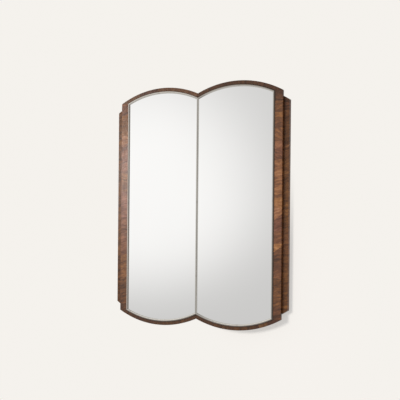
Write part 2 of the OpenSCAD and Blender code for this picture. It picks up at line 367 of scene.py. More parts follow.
def finish_piece(piece, slot, materials, *stands_for):
    """Smooths a piece, dresses it and hangs it on the CAD body."""
    hold(piece)
    bpy.ops.object.shade_smooth_by_angle(angle=SMOOTH_ANGLE)
    bpy.ops.object.modifier_add(type="WEIGHTED_NORMAL")
    piece.modifiers[-1].keep_sharp = True
    bpy.ops.object.modifier_apply(modifier=piece.modifiers[-1].name)
    piece.data.materials.clear()
    for material in materials:
        piece.data.materials.append(material)
    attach(piece, BODY)
    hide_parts(*stands_for)


def veneer_piece(piece, name, look, grain, own_value, reach, **touches):
    """Veneers a member with its own leaves and puts it in the place of its CAD solid."""
    lay_grain(piece, grain, own_value)
    veneer = walnut_veneer(f"{name}_veneer", look, LEAVES[name], reach, **touches)
    finish_piece(piece, "walnut_veneer", [veneer], name)


class Elevation:
    """The lines of the front elevation, for the top right corner."""

    def __init__(self, sizes):
        self.outer = sizes.arch_radius
        self.sight = sizes.arch_radius - sizes.band_width
        self.rise = CROWN_TOP - MIDDLE - sizes.arch_radius
        self.bead = BEAD_HALF
        self.bead_mid = self.sight - self.bead
        self.bead_inner = self.sight - 2 * self.bead
        bead_edge = SIGHT_HALF - 2 * self.bead
        self.corner = (self.point(self.sight, SIGHT_HALF), self.point(self.outer, FRAME_HALF))
        self.bead_corner = (self.point(self.bead_inner, bead_edge),
                            self.point(self.sight, SIGHT_HALF))
        self.valley = (self.point(self.bead_mid, 0.0), self.point(self.bead_inner, self.bead))

    def point(self, radius, x, drop=0.0):
        """The point of an arch at a place x."""
        lift = math.sqrt(radius ** 2 - (x - CROWN_X) ** 2)
        return Vector((x, 0.0, MIDDLE + self.rise - drop + lift))

    def centre(self, side=1, end=1, drop=0.0):
        return Vector((side * CROWN_X, 0.0, MIDDLE + end * (self.rise - drop)))


def turned(line, side, end):
    """A line of the top right corner, laid at another corner."""
    return [Vector((side * p.x, 0.0, MIDDLE + end * (p.z - MIDDLE))) for p in line]


def keep_line(line, side_point):
    """Cuts along a line of the front elevation and keeps the side where side_point lies."""
    first, second = line
    run = second - first
    across = Vector((run.z, 0.0, -run.x)).normalized()
    if across.dot(side_point - first) < 0:
        across.negate()
    keep(first, across)


def spin_arch(plan, first_angle, last_angle):
    """Turns the open section, drawn at the crown, into an arch between two angles."""
    centre = plan.centre()
    bpy.ops.mesh.select_all(action="SELECT")
    data = bpy.context.object.data
    mesh = bmesh.from_edit_mesh(data)
    turn = Matrix.Rotation(math.radians(90 - first_angle), 4, "Y")
    bmesh.ops.transform(mesh, matrix=Matrix.Translation(centre) @ turn
                        @ Matrix.Translation(-centre), verts=mesh.verts)
    bmesh.update_edit_mesh(data)
    sweep = first_angle - last_angle
    bpy.ops.mesh.spin(steps=round(sweep), angle=-math.radians(sweep), center=centre,
                      axis=(0.0, 1.0, 0.0))
    tidy_normals()


def lobe(name, plan, radius, drop, x_in, x_out, front, back):
    """A flat board with an arc at both ends, facing the room."""
    halves = []
    for end in (1, -1):
        centre = plan.centre(1, end, drop) + Vector((0.0, front, 0.0))
        half = begin(f"{name}_{end}", bpy.ops.mesh.primitive_circle_add, vertices=720,
                     radius=radius, fill_type="NGON", location=centre, rotation=FACING_ROOM)
        keep((x_in, 0.0, 0.0), (1, 0, 0), fill=False)
        keep((x_out, 0.0, 0.0), (-1, 0, 0), fill=False)
        keep((0.0, 0.0, MIDDLE), (0, 0, end), fill=False)
        halves.append(half)
    hold(halves[0])
    halves[1].select_set(True)
    bpy.ops.object.join()
    piece = bpy.context.object
    piece.name = piece.data.name = name
    open_up()
    bpy.ops.mesh.remove_doubles(threshold=NEAR)
    pick("edges", lambda m: abs(m.z - MIDDLE) < NEAR and x_in + MM < m.x < x_out - MM)
    bpy.ops.mesh.dissolve_edges()
    bpy.ops.mesh.select_all(action="SELECT")
    extrude((0.0, back - front, 0.0))
    tidy_normals()
    return piece


def lay_grain(piece, place, own_value):
    """Stores how far each point lies across, along and into its member, and a number that its
    finish reads: the luck of its veneer, the turn of its plywood or how much painted shade and
    painted highlight its bead takes."""
    settle()
    data = piece.data
    grain = data.attributes.new("grain", "FLOAT_VECTOR", "POINT")
    grain.data.foreach_set("vector", [c for v in data.vertices for c in place(v.co)])
    owned = data.attributes.new("own_value", "FLOAT", "POINT")
    owned.data.foreach_set("value", [own_value] * len(data.vertices))


def straight_grain(x_mid):
    return lambda co: (co.x - x_mid, co.z - MIDDLE, co.y)


def arch_grain(plan, side, end, mid):
    centre = plan.centre(side, end)

    def place(co):
        across, up = side * (co.x - centre.x), end * (co.z - centre.z)
        return (math.hypot(across, up) - mid, mid * math.atan2(across, up), co.y)

    return place


# Materials

class Graph:
    """A node tree while it is put together."""

    def __init__(self, tree):
        self.tree = tree

    def feed(self, socket, value):
        if isinstance(value, bpy.types.NodeSocket):
            self.tree.links.new(value, socket)
        else:
            socket.default_value = value

    def node(self, kind, sockets=None, **settings):
        made = self.tree.nodes.new(kind)
        for key, value in settings.items():
            setattr(made, key, value)
        for name, value in (sockets or {}).items():
            self.feed(made.inputs[name], value)
        return made

    def math(self, operation, *values, clamp=False):
        made = self.node("ShaderNodeMath", operation=operation, use_clamp=clamp)
        for socket, value in zip(made.inputs, values):
            self.feed(socket, value)
        return made.outputs[0]

    def plus(self, first, second, clamp=False):
        return self.math("ADD", first, second, clamp=clamp)

    def minus(self, first, second):
        return self.math("SUBTRACT", first, second)

    def times(self, first, second, clamp=False):
        return self.math("MULTIPLY", first, second, clamp=clamp)

    def swing(self, value, width):
        """Turns a value from 0 to 1 into one that swings about zero."""
        return self.times(self.minus(value, 0.5), width)

    def mix(self, share, first, second, blend="MIX"):
        made = self.node("ShaderNodeMix", data_type="RGBA", blend_type=blend)
        for index, value in ((0, share), (6, first), (7, second)):
            self.feed(made.inputs[index], value)
        return made.outputs[2]

    def fade(self, value, low, high, bottom=0.0, top=1.0):
        """Goes smoothly from bottom to top while the value goes from low to high."""
        return self.node("ShaderNodeMapRange", {
            "Value": value, "From Min": low, "From Max": high, "To Min": bottom,
            "To Max": top}, interpolation_type="SMOOTHSTEP").outputs["Result"]

    def ramp(self, value, *stops, steps=False):
        made = self.node("ShaderNodeValToRGB", {"Fac": value})
        marks = made.color_ramp.elements
        if steps:
            made.color_ramp.interpolation = "CONSTANT"
        while len(marks) > 1:
            marks.remove(marks[-1])
        for place, shade in stops[1:]:
            marks.new(place).color = shade
        marks[0].position, marks[0].color = stops[0]
        return made.outputs["Color"]

    def join(self, x, y, z):
        return self.node("ShaderNodeCombineXYZ", {"X": x, "Y": y, "Z": z}).outputs[0]

    def split(self, vector):
        return self.node("ShaderNodeSeparateXYZ", {0: vector}).outputs

    def stretch(self, vector, *by):
        """Multiplies the three parts of a place, each by its own number."""
        return self.node("ShaderNodeVectorMath", {0: vector, 1: by},
                         operation="MULTIPLY").outputs[0]

    def noise(self, vector, scale=1.0, detail=2.0, roughness=0.5, distortion=0.0):
        return self.node("ShaderNodeTexNoise", {
            "Vector": vector, "Scale": scale, "Detail": detail, "Roughness": roughness,
            "Distortion": distortion}).outputs["Fac"]

    def stored(self, name, output="Fac"):
        """What lay_grain or ease has stored on the mesh."""
        return self.node("ShaderNodeAttribute", attribute_name=name).outputs[output]


class Finish(Graph):
    """A material while it is put together."""

    def __init__(self, name):
        self.material = bpy.data.materials.new(name)
        self.material.use_nodes = True
        super().__init__(self.material.node_tree)
        self.shader = self.tree.nodes["Principled BSDF"]

    def here(self):
        return self.node("ShaderNodeTexCoord").outputs["Object"]

    def bump(self, height, depth, strength=1.0):
        made = self.node("ShaderNodeBump", {
            "Height": height, "Distance": depth, "Strength": strength})
        self.feed(self.shader.inputs["Normal"], made.outputs["Normal"])

    def dress(self, base, roughness, **constants):
        """Sets the shader's sockets, with constants straight on them."""
        self.feed(self.shader.inputs["Base Color"], base)
        self.feed(self.shader.inputs["Roughness"], roughness)
        for name, value in constants.items():
            self.shader.inputs[name.replace("_", " ")].default_value = value
        return self.material


def walnut_veneer(name, look, leaves, reach, shade=0.0, lacquer=0.8):
    """Cross-banded walnut in butted leaves under a satin lacquer.

    Reach is the half length of member that the leaves are spread over."""
    f = Finish(name)
    grain = f.stored("grain", "Vector")
    across, along, into = f.split(grain)
    seed, arris = f.stored("own_value"), f.stored("arris")
    over = f.plus(across, into)

    def place(start):
        return max(0.0, (start * MM + reach) / (2 * reach))

    def spread(run):
        return f.math("DIVIDE", f.plus(run, reach), 2 * reach)

    def packed(signed):
        return 0.5 + signed / PACK

    leaves = [leaf if len(leaf) > 4 else (*leaf, 0.0) for leaf in leaves]
    middles = [(leaves[i - 1][0] + leaves[i][0]) / 2 if i else -reach / MM
               for i in range(len(leaves))]
    slants = f.ramp(spread(along), *[(place(low), (packed(leaf[4]),) * 3 + (1.0,))
                                     for low, leaf in zip(middles, leaves)], steps=True)
    joint_run = f.minus(along, f.times(across, f.swing(slants, PACK)))
    stops = [(place(start), (light, rosy, packed(lean), 1.0))
             for start, light, rosy, lean, _ in leaves]
    light, rosy, leaning = f.split(f.ramp(spread(joint_run), *stops, steps=True))
    beside = f.split(f.ramp(spread(f.plus(joint_run, JOINT_WIDTH)), *stops, steps=True))[0]
    seam = f.times(f.math("ABSOLUTE", f.minus(beside, light)), 3.0, clamp=True)

    luck = f.math("FRACT", f.plus(f.times(light, 37.0), f.plus(f.times(rosy, 11.0), seed)))
    wander = f.noise(f.stretch(f.join(over, along, luck), 30.0, 13.0, 9.0))
    run = f.minus(along, f.times(over, f.swing(leaning, PACK * LEAN)))
    run = f.plus(f.plus(run, f.swing(wander, SWAY)), f.times(luck, 3.0))
    laid = f.join(over, run, luck)
    bands = f.noise(f.stretch(laid, 12.0, 1 / look.band_pitch, 1.0))
    streaks = f.noise(f.stretch(laid, 40.0, 1 / look.streak_pitch, 1.0), roughness=0.6)
    pores = f.noise(f.stretch(laid, 210.0, 2600.0, 1.0), detail=1.0)
    clouds = f.noise(f.stretch(f.join(over, along, seed), 22.0, 16.0, 1.0))

    level = light
    for figure, contrast in ((bands, 1.05), (streaks, 1.15), (clouds, 0.4)):
        level = f.plus(level, f.swing(figure, contrast))
    wood = f.ramp(level, (0.0, look.umber), (0.42, look.brown), (0.78, look.golden),
                  (1.0, look.tan))
    blush = f.ramp(level, (0.0, look.umber), (0.42, look.plum), (1.0, look.rosy))
    wood = f.mix(f.plus(rosy, f.swing(clouds, 0.5), clamp=True), wood, blush)
    for share in (f.fade(pores, 0.6, 0.74, 0.0, 0.4), seam, f.times(arris, 0.3), shade):
        wood = f.mix(share, wood, look.dark)

    grit = f.noise(f.join(over, along, into), 420.0, 3.0)
    gloss = f.plus(f.fade(grit, 0.3, 0.7, 0.3, 0.4), f.times(arris, 0.08))
    relief = f.minus(f.times(streaks, 0.6), f.fade(pores, 0.6, 0.74, 0.0, 0.5))
    f.bump(f.minus(relief, seam), 0.06 * MM, 0.5)
    return f.dress(wood, gloss, Specular_IOR_Level=0.1, Coat_Weight=lacquer,
                   Coat_Roughness=0.23, Coat_IOR=1.45)


def silvered_glass(look):
    """Front of a pane: silver behind clear glass, with a faint haze of wiping."""
    f = Finish("silvered_glass")
    wiping = f.noise(f.stretch(f.here(), 3.0, 1.0, 9.0), 2.2, 3.0)
    haze = f.noise(f.here(), 2.4, 4.0)
    silver = f.mix(f.fade(haze, 0.4, 0.75, 0.0, 0.05), look.silvering, tone("#dfe3e0"))
    f.bump(f.noise(f.here(), 9.0, 1.0), 0.02 * MM, 0.4)
    return f.dress(silver, f.fade(wiping, 0.45, 0.75, 0.012, 0.035), Metallic=1.0,
                   Coat_Weight=0.6, Coat_Roughness=0.02, Coat_IOR=1.5)


def glass_edge(look):
    """Seamed edge of float glass, which looks green."""
    f = Finish("glass_edge")
    chips = f.noise(f.here(), 900.0, 3.0)
    green = f.mix(f.fade(chips, 0.35, 0.7), tone("#5f8a7a"), tone("#a9c8bd"))
    f.bump(chips, 0.08 * MM, 0.7)
    return f.dress(green, f.fade(chips, 0.3, 0.7, 0.3, 0.55))


def back_paint(look):
    """Grey paint that guards the silver."""
    f = Finish("back_paint")
    rolled = f.noise(f.stretch(f.here(), 1.0, 1.0, 0.2), 260.0, 3.0)
    paint = f.mix(rolled, tone("#5a615e"), tone("#727a76"))
    f.bump(rolled, 0.05 * MM, 0.5)
    return f.dress(paint, f.fade(rolled, 0.3, 0.7, 0.5, 0.65))


def nickel_plate(look):
    """Nickel plate, polished along its length and dull at its foot, with painted shade and a
    painted brown reflection of the wood on its wood side by the piece's own share; a negative
    share paints shade on the glass side and a painted highlight on the wood side."""
    f = Finish("nickel_plate")
    grain = f.stored("grain", "Vector")
    across, _, into = f.split(grain)
    lines = f.noise(f.stretch(grain, 3200.0, 18.0, 3200.0))
    foot = f.fade(into, GLASS_FRONT - 1.3 * MM, GLASS_FRONT, 0.0, 0.4)
    patches = f.fade(f.noise(grain, 34.0, 4.0, 0.6), 0.55, 0.8, 0.0, 0.35)
    dull = f.math("MAXIMUM", foot, patches)
    metal = f.mix(dull, look.nickel, look.tarnish)
    # The piece's own share of painted shade: darker and browner on the wood side, standing in for
    # shade and the reflected wood; a negative share puts the painted shade on the glass side and
    # a painted highlight on the wood side
    brown = f.stored("own_value")
    painted_shade_by_wood = f.times(f.fade(across, -2.5 * MM, 2.5 * MM), brown)
    painted_shade_by_glass = f.times(f.fade(across, -3.5 * MM, -1.5 * MM, -1.0, 0.0), brown)
    metal = f.mix(f.math("MAXIMUM", painted_shade_by_wood, painted_shade_by_glass), metal, tone("#4c3828"))
    # Painted highlight on the wood side, where the share is negative
    painted_highlight_by_wood = f.times(f.fade(across, -1.5 * MM, 1.0 * MM, 0.0, -1.5), brown, clamp=True)
    metal = f.mix(painted_highlight_by_wood, metal, tone("#fbf3ea"))
    f.bump(lines, 0.004 * MM, 0.2)
    polish = f.plus(f.fade(lines, 0.3, 0.7, 0.12, 0.2), f.times(dull, 0.12))
    return f.dress(metal, polish, Metallic=1.0)


def birch_plywood(look):
    """Birch plywood: quiet face figure, along x where the piece's own value is 1 and upright
    otherwise, and striped plies on the edges."""
    f = Finish("birch_plywood")
    x, y, z = f.split(f.here())
    facing = f.split(f.node("ShaderNodeNewGeometry").outputs["Normal"])[1]
    on_face = f.fade(f.math("ABSOLUTE", facing), 0.6, 0.8)
    swap = f.times(f.stored("own_value"), f.minus(z, x))
    laid = f.join(f.plus(x, swap), y, f.minus(z, swap))
    figure = f.noise(f.stretch(laid, 34.0, 40.0, 3.4), 1.0, 4.0, 0.55, 1.6)
    fleck = f.noise(f.stretch(laid, 1500.0, 900.0, 90.0), detail=1.0)
    face = f.mix(f.fade(figure, 0.28, 0.76), look.birch, tone("#b4936a"))
    face = f.mix(f.fade(fleck, 0.58, 0.75, 0.0, 0.5), face, look.birch_core)
    ply = f.math("PINGPONG", f.plus(y, ABOVE_ZERO), PLY_THICKNESS)
    from_glue = f.math("ABSOLUTE", f.minus(ply, PLY_THICKNESS / 2))
    edge = f.mix(f.fade(ply, 0.62 * MM, 0.82 * MM), look.birch, look.birch_core)
    end_grain = f.noise(f.here(), 1300.0)
    edge = f.mix(f.fade(end_grain, 0.4, 0.75, 0.0, 0.4), edge, tone("#7c5a33"))
    edge = f.mix(f.fade(from_glue, 0.04 * MM, 0.14 * MM, 0.6, 0.0), edge, tone("#4d3620"))
    f.bump(f.plus(fleck, end_grain), 0.1 * MM, 0.5)
    return f.dress(f.mix(on_face, edge, face), f.fade(fleck, 0.3, 0.8, 0.5, 0.68))


def drawn_aluminium(look):
    """Mill-finish extrusion with fine die lines along it and a few scuffs."""
    f = Finish("drawn_aluminium")
    lines = f.noise(f.stretch(f.here(), 4.0, 2600.0, 2600.0))
    scuffs = f.noise(f.here(), 60.0, 5.0, 0.7)
    metal = f.mix(f.fade(scuffs, 0.5, 0.72, 0.0, 0.5), look.aluminium, tone("#94989b"))
    f.bump(lines, 0.04 * MM, 0.5)
    return f.dress(metal, f.fade(lines, 0.3, 0.7, 0.28, 0.42), Metallic=1.0)


def zinc_plate(look):
    """Zinc-plated steel with a faint yellow bloom."""
    f = Finish("zinc_plate")
    bloom = f.noise(f.here(), 190.0, 3.0)
    grain = f.noise(f.here(), 2400.0)
    metal = f.mix(f.fade(bloom, 0.4, 0.65), look.zinc, tone("#a39a78"))
    f.bump(grain, 0.02 * MM, 0.4)
    return f.dress(metal, f.fade(grain, 0.3, 0.7, 0.24, 0.38), Metallic=1.0)


def wool_felt(look):
    """Pressed wool felt with loose fibres."""
    f = Finish("wool_felt")
    fibres = f.noise(f.here(), 1900.0, 4.0, 0.7, 2.5)
    tufts = f.noise(f.here(), 240.0, 3.0)
    wool = f.mix(f.fade(fibres, 0.35, 0.7), look.felt, tone("#7d7a76"))
    wool = f.mix(f.fade(tufts, 0.45, 0.7, 0.0, 0.4), wool, tone("#353433"))
    f.bump(f.plus(fibres, tufts), 0.4 * MM, 0.8)
    return f.dress(wool, f.fade(fibres, 0.2, 0.8, 0.85, 1.0), Sheen_Weight=0.4,
                   Sheen_Roughness=0.5)


def foam_tape(look):
    """Double-sided foam tape with open cells on its cut edges."""
    f = Finish("foam_tape")
    cells = f.noise(f.here(), 1600.0, 3.0)
    foam = f.mix(f.fade(cells, 0.35, 0.7), look.tape, tone("#c9c6bf"))
    f.bump(cells, 0.2 * MM, 0.6)
    return f.dress(foam, f.fade(cells, 0.3, 0.7, 0.6, 0.8))


def beech_wood(look):
    """Beech with short ray flecks."""
    f = Finish("beech_wood")
    flecks = f.noise(f.stretch(f.here(), 160.0, 1400.0, 1400.0))
    wood = f.mix(f.fade(flecks, 0.4, 0.7), look.beech, tone("#9d7448"))
    f.bump(flecks, 0.1 * MM, 0.5)
    return f.dress(wood, f.fade(flecks, 0.3, 0.7, 0.5, 0.62))


def reuse(make, look):
    """A material that is made once, by the first piece that asks for it; it has the name of
    the function that makes it."""
    return bpy.data.materials.get(make.__name__) or make(look)


def dress_node(node, material):
    """Puts a finish on a CAD solid that stays as it is."""
    NODES[node].data.materials.clear()
    NODES[node].data.materials.append(material)


# Pieces

class MIRROR_OT_stiles(bpy.types.Operator):
    """Models the two straight sides of the front frame"""

    bl_idname = "mirror.stiles"
    bl_label = "Stiles"

    def execute(self, context):
        sizes, look = context.scene.mirror_sizes, context.scene.mirror_veneer
        plan = Elevation(sizes)
        wide = FRAME_HALF - SIGHT_HALF
        back = FACE_FRONT + sizes.face_thickness
        low = MIDDLE - 1.1 * (STILE_HIGH.z - MIDDLE)
        at = Vector(((SIGHT_HALF + FRAME_HALF) / 2, (FACE_FRONT + back) / 2, low))
        stile = begin("stile_right_veneered", bpy.ops.mesh.primitive_plane_add, size=1.0,
                      location=at)
        bpy.ops.transform.resize(value=(wide, back - FACE_FRONT, 1.0), center_override=at)
        lip_in = FRAME_HALF - sizes.rebate_lip
        bpy.ops.mesh.bisect(plane_co=(lip_in, 0.0, 0.0), plane_no=(1, 0, 0))
        pick("edges", lambda m: abs(m.y - back) < NEAR and m.x > lip_in)
        extrude((0.0, FACE_BACK - back, 0.0))
        bpy.ops.mesh.select_all(action="SELECT")
        extrude((0.0, 0.0, 2 * (MIDDLE - low)))
        tidy_normals()
        below = Vector((FRAME_HALF, 0.0, MIDDLE))
        keep_line(plan.corner, below)
        keep_line(turned(plan.corner, 1, -1), below)
        tidy_normals()
        ease(sizes.face_ease)
        left = copy_to_corner(stile, "stile_left_veneered", -1, 1)
        for piece, side in ((stile, 1), (left, -1)):
            veneer_piece(piece, f"stile_{SIDE_NAME[side]}", look, straight_grain(at.x * side),
                         side, STILE_REACH)
        return {"FINISHED"}


class MIRROR_OT_arch_rails(bpy.types.Operator):
    """Models the four arched members of the front frame"""

    bl_idname = "mirror.arch_rails"
    bl_label = "Arch rails"

    def execute(self, context):
        sizes, look = context.scene.mirror_sizes, context.scene.mirror_veneer
        plan = Elevation(sizes)
        back = FACE_FRONT + sizes.face_thickness
        centre = plan.centre()
        at = Vector((CROWN_X, (FACE_FRONT + back) / 2, centre.z + (plan.sight + plan.outer) / 2))
        rail = begin("arch_rail_top_right_veneered", bpy.ops.mesh.primitive_plane_add, size=1.0,
                     location=at, rotation=FACING_ALONG)
        bpy.ops.transform.resize(value=(1.0, back - FACE_FRONT, plan.outer - plan.sight),
                                 center_override=at)
        lip_in = centre.z + plan.outer - sizes.rebate_lip
        bpy.ops.mesh.bisect(plane_co=(0.0, 0.0, lip_in), plane_no=(0, 0, 1))
        pick("edges", lambda m: abs(m.y - back) < NEAR and m.z > lip_in)
        extrude((0.0, FACE_BACK - back, 0.0))
        spin_arch(plan, 117, 59)
        keep((0.0, 0.0, 0.0), (1, 0, 0))
        keep_line(plan.corner, Vector((CROWN_X, 0.0, CROWN_TOP)))
        tidy_normals()
        ease(sizes.face_ease)
        rails = copy_to_corners(rail, "arch_rail", "veneered")
        band_mid = (plan.outer + plan.sight) / 2
        for number, ((side, end), piece) in enumerate(rails.items()):
            veneer_piece(piece, corner_name("arch_rail", side, end), look,
                         arch_grain(plan, side, end, band_mid), 2.3 + 1.9 * number,
                         FRAME_HALF / 2, shade=0.7, lacquer=0.55)
        return {"FINISHED"}


class MIRROR_OT_beads(bpy.types.Operator):
    """Models the half-round beads, mitred where they meet"""

    bl_idname = "mirror.beads"
    bl_label = "Beads"

    def upright(self, name, plan, x):
        bead = begin(name, bpy.ops.mesh.primitive_circle_add, vertices=32, radius=plan.bead,
                     fill_type="NGON", location=(x, GLASS_FRONT, MIDDLE - FRAME_HALF * 1.5))
        keep((0.0, GLASS_FRONT, 0.0), (0, -1, 0), fill=False)
        bpy.ops.mesh.select_all(action="SELECT")
        extrude((0.0, 0.0, 3.0 * FRAME_HALF))
        tidy_normals()
        return bead

    def execute(self, context):
        plan = Elevation(context.scene.mirror_sizes)
        look = context.scene.mirror_finish
        at_side = SIGHT_HALF - plan.bead
        side_bead = self.upright("bead_side_right_polished", plan, at_side)
        for end in (1, -1):
            keep_line(turned(plan.bead_corner, 1, end), Vector((SIGHT_HALF, 0.0, MIDDLE)))
        tidy_normals()

        centre_bead = self.upright("bead_centre_polished", plan, 0.0)
        for side, end in CORNERS:
            keep_line(turned(plan.valley, side, end), Vector((0.0, 0.0, MIDDLE)))
        tidy_normals()

        at = plan.centre() + Vector((0.0, GLASS_FRONT, plan.bead_mid))
        arch_bead = begin("bead_top_right_polished", bpy.ops.mesh.primitive_circle_add,
                          vertices=32, radius=plan.bead, fill_type="NGON", location=at,
                          rotation=FACING_ALONG)
        keep((0.0, GLASS_FRONT, 0.0), (0, -1, 0), fill=False)
        spin_arch(plan, 118, 60)
        crown = Vector((CROWN_X, 0.0, CROWN_TOP))
        keep((0.0, 0.0, 0.0), (1, 0, 0))
        keep_line(plan.valley, crown)
        keep_line(plan.bead_corner, crown)
        tidy_normals()

        nickel = reuse(nickel_plate, look)
        left = copy_to_corner(side_bead, "bead_side_left_polished", -1, 1)
        # The last number is each bead's share of painted shade on its wood side; a negative one
        # paints shade on the glass side and a highlight on the wood side
        for piece, node, mid, brown in ((side_bead, "bead_side_right", at_side, 0.85),
                                        (left, "bead_side_left", at_side, -0.5),
                                        (centre_bead, "bead_centre", 0.0, 0.0)):
            lay_grain(piece, lambda co: (abs(co.x) - mid, co.z - MIDDLE, co.y), brown)
            finish_piece(piece, "nickel_bead", [nickel], node)
        for (side, end), piece in copy_to_corners(arch_bead, "bead", "polished").items():
            # The arch beads' shares of painted shade differ with how the light falls on each
            # corner
            brown = 0.55 if end < 0 else 0.85 if side > 0 else 0.3
            lay_grain(piece, arch_grain(plan, side, end, plan.bead_mid), brown)
            finish_piece(piece, "nickel_bead", [nickel], corner_name("bead", side, end))
        return {"FINISHED"}


class MIRROR_OT_panes(bpy.types.Operator):
    """Models the two mirror panes with seamed edges"""

    bl_idname = "mirror.panes"
    bl_label = "Panes"

    def execute(self, context):
        sizes, look = context.scene.mirror_sizes, context.scene.mirror_finish
        plan = Elevation(sizes)
        pane = lobe("pane_right_silvered", plan, plan.sight - sizes.pane_fit, 0.0,
                    PANE_LOW.x, PANE_HIGH.x, PANE_LOW.y, PANE_HIGH.y)
        ease(sizes.glass_ease, 1)
        left = copy_to_corner(pane, "pane_left_silvered", -1, 1)
        finishes = [reuse(silvered_glass, look), reuse(glass_edge, look), reuse(back_paint, look)]
        for piece, side in ((pane, 1), (left, -1)):
            finish_piece(piece, "mirror_glass", finishes, f"pane_{SIDE_NAME[side]}")
            for face in piece.data.polygons:
                facing = face.normal.y
                face.material_index = 0 if facing < -0.9 else 2 if facing > 0.9 else 1
        return {"FINISHED"}


class MIRROR_OT_wings(bpy.types.Operator):
    """Models the set-back wings at both sides"""

    bl_idname = "mirror.wings"
    bl_label = "Wings"

    def execute(self, context):
        sizes, look = context.scene.mirror_sizes, context.scene.mirror_veneer
        plan = Elevation(sizes)
        wing = lobe("wing_right_veneered", plan, plan.outer, sizes.step_drop,
                    WING_LOW.x, WING_HIGH.x, WING_LOW.y, WING_HIGH.y)
        ease(sizes.wing_ease)
        left = copy_to_corner(wing, "wing_left_veneered", -1, 1)
        for piece, side in ((wing, 1), (left, -1)):
            veneer_piece(piece, f"wing_{SIDE_NAME[side]}", look,
                         straight_grain(FRAME_HALF * side), 11.0 + side, STILE_REACH,
                         lacquer=0.45)
        return {"FINISHED"}


class MIRROR_OT_carcass(bpy.types.Operator):
    """Eases the plywood members and finishes the panel, tapes, dowels and panel screws"""

    bl_idname = "mirror.carcass"
    bl_label = "Carcass"

    def execute(self, context):
        sizes, look = context.scene.mirror_sizes, context.scene.mirror_finish
        for node in ("carcass_top_rail", "carcass_bottom_rail", "centre_mullion",
                     "hanging_rail", "lower_cross_rail"):
            member = eased_copy(node, f"{node}_eased", sizes.ply_ease)
            lay_grain(member, straight_grain(0.0), 1.0 if "rail" in node else 0.0)
            finish_piece(member, "birch_ply", [reuse(birch_plywood, look)], node)
        dress_node("ground_panel", reuse(birch_plywood, look))
        dress_node("carcass_dowels", reuse(beech_wood, look))
        dress_node("panel_screws", reuse(zinc_plate, look))
        for node in ("pane_tape_left", "pane_tape_right"):
            dress_node(node, reuse(foam_tape, look))
        return {"FINISHED"}


class MIRROR_OT_wall_clip(bpy.types.Operator):
    """Eases the two halves of the wall clip"""

    bl_idname = "mirror.wall_clip"
    bl_label = "Wall clip"

    def execute(self, context):
        sizes, look = context.scene.mirror_sizes, context.scene.mirror_finish
        for node in ("clip_mirror_half", "clip_wall_half"):
            half = eased_copy(node, f"{node}_eased", sizes.clip_ease)
            finish_piece(half, "clip_metal", [reuse(drawn_aluminium, look)], node)
        return {"FINISHED"}


class MIRROR_OT_clip_screws(bpy.types.Operator):
    """Models the pan head screws of the clip, with cross recesses towards the wall"""

    bl_idname = "mirror.clip_screws"
    bl_label = "Clip screws"

    def cut_recess(self, screw, centre, across):
        """Cuts one slot of the cross recess out of the head."""
        cutter = begin("recess_cutter", bpy.ops.mesh.primitive_cube_add, size=1.0,
                       location=centre)
        bpy.ops.transform.resize(value=across, center_override=centre)
        hold(screw)
        bpy.ops.object.modifier_add(type="BOOLEAN")
        screw.modifiers[-1].object = cutter
        bpy.ops.object.modifier_apply(modifier=screw.modifiers[-1].name)
        bpy.data.objects.remove(cutter)

    def execute(self, context):
        sizes, look = context.scene.mirror_sizes, context.scene.mirror_finish
        low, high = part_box("clip_screws")
        head = (high.z - low.z) / 2
        seat = high.y - sizes.head_height
        reach = high.x - head
        at = Vector((reach, seat + sizes.head_height / 2, (high.z + low.z) / 2))
        screw = begin("clip_screw_1_turned", bpy.ops.mesh.primitive_cylinder_add, vertices=48,
                      radius=head, depth=sizes.head_height, location=at, rotation=FACING_ROOM)
        pick("edges", lambda m: m.y > high.y - NEAR
             and abs(m.x - at.x) + abs(m.z - at.z) > head / 2)
        bpy.ops.mesh.bevel(offset=sizes.head_height * 0.55, segments=5, profile=0.5)
        pick("faces", lambda m: m.y < seat + NEAR)
        bpy.ops.mesh.inset(thickness=head - sizes.shank_radius)
        tip, bluntness = 2 * MM, 0.12
        extrude((0.0, low.y + tip - seat, 0.0))
        extrude((0.0, -tip, 0.0))
        bpy.ops.transform.resize(value=(bluntness, 1.0, bluntness), center_override=at)
        tidy_normals()
        slot, depth = 0.3 * head, 1.1 * sizes.head_height
        mouth = Vector((at.x, high.y, at.z))
        self.cut_recess(screw, mouth, (head, depth, slot))
        self.cut_recess(screw, mouth, (slot, depth, head))
        screws = [screw]
        for number in (2, 3, 4):
            screws.append(duplicate(screw, f"clip_screw_{number}_turned"))
            bpy.ops.transform.translate(value=(-reach * 2 / 3 * (number - 1), 0.0, 0.0))
        for piece in screws:
            finish_piece(piece, "zinc_screw", [reuse(zinc_plate, look)], "clip_screws")
        return {"FINISHED"}


class MIRROR_OT_wall_pads(bpy.types.Operator):
    """Models the felt pads that rest on the wall"""

    bl_idname = "mirror.wall_pads"
    bl_label = "Wall pads"

    def execute(self, context):
        sizes, look = context.scene.mirror_sizes, context.scene.mirror_finish
        low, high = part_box("wall_pads")
        at = Vector(((WING_LOW.x + WING_HIGH.x) / 2, (low.y + high.y) / 2, 0.0))
        radius = high.x - at.x
        at.z = high.z - radius
        pad = begin("wall_pad_top_right_felt", bpy.ops.mesh.primitive_cylinder_add, vertices=64,
                    radius=radius, depth=high.y - low.y, location=at, rotation=FACING_ROOM)
        ease(sizes.pad_ease, 4)
        for piece in copy_to_corners(pad, "wall_pad", "felt").values():
            finish_piece(piece, "felt_pad", [reuse(wool_felt, look)], "wall_pads")
        return {"FINISHED"}


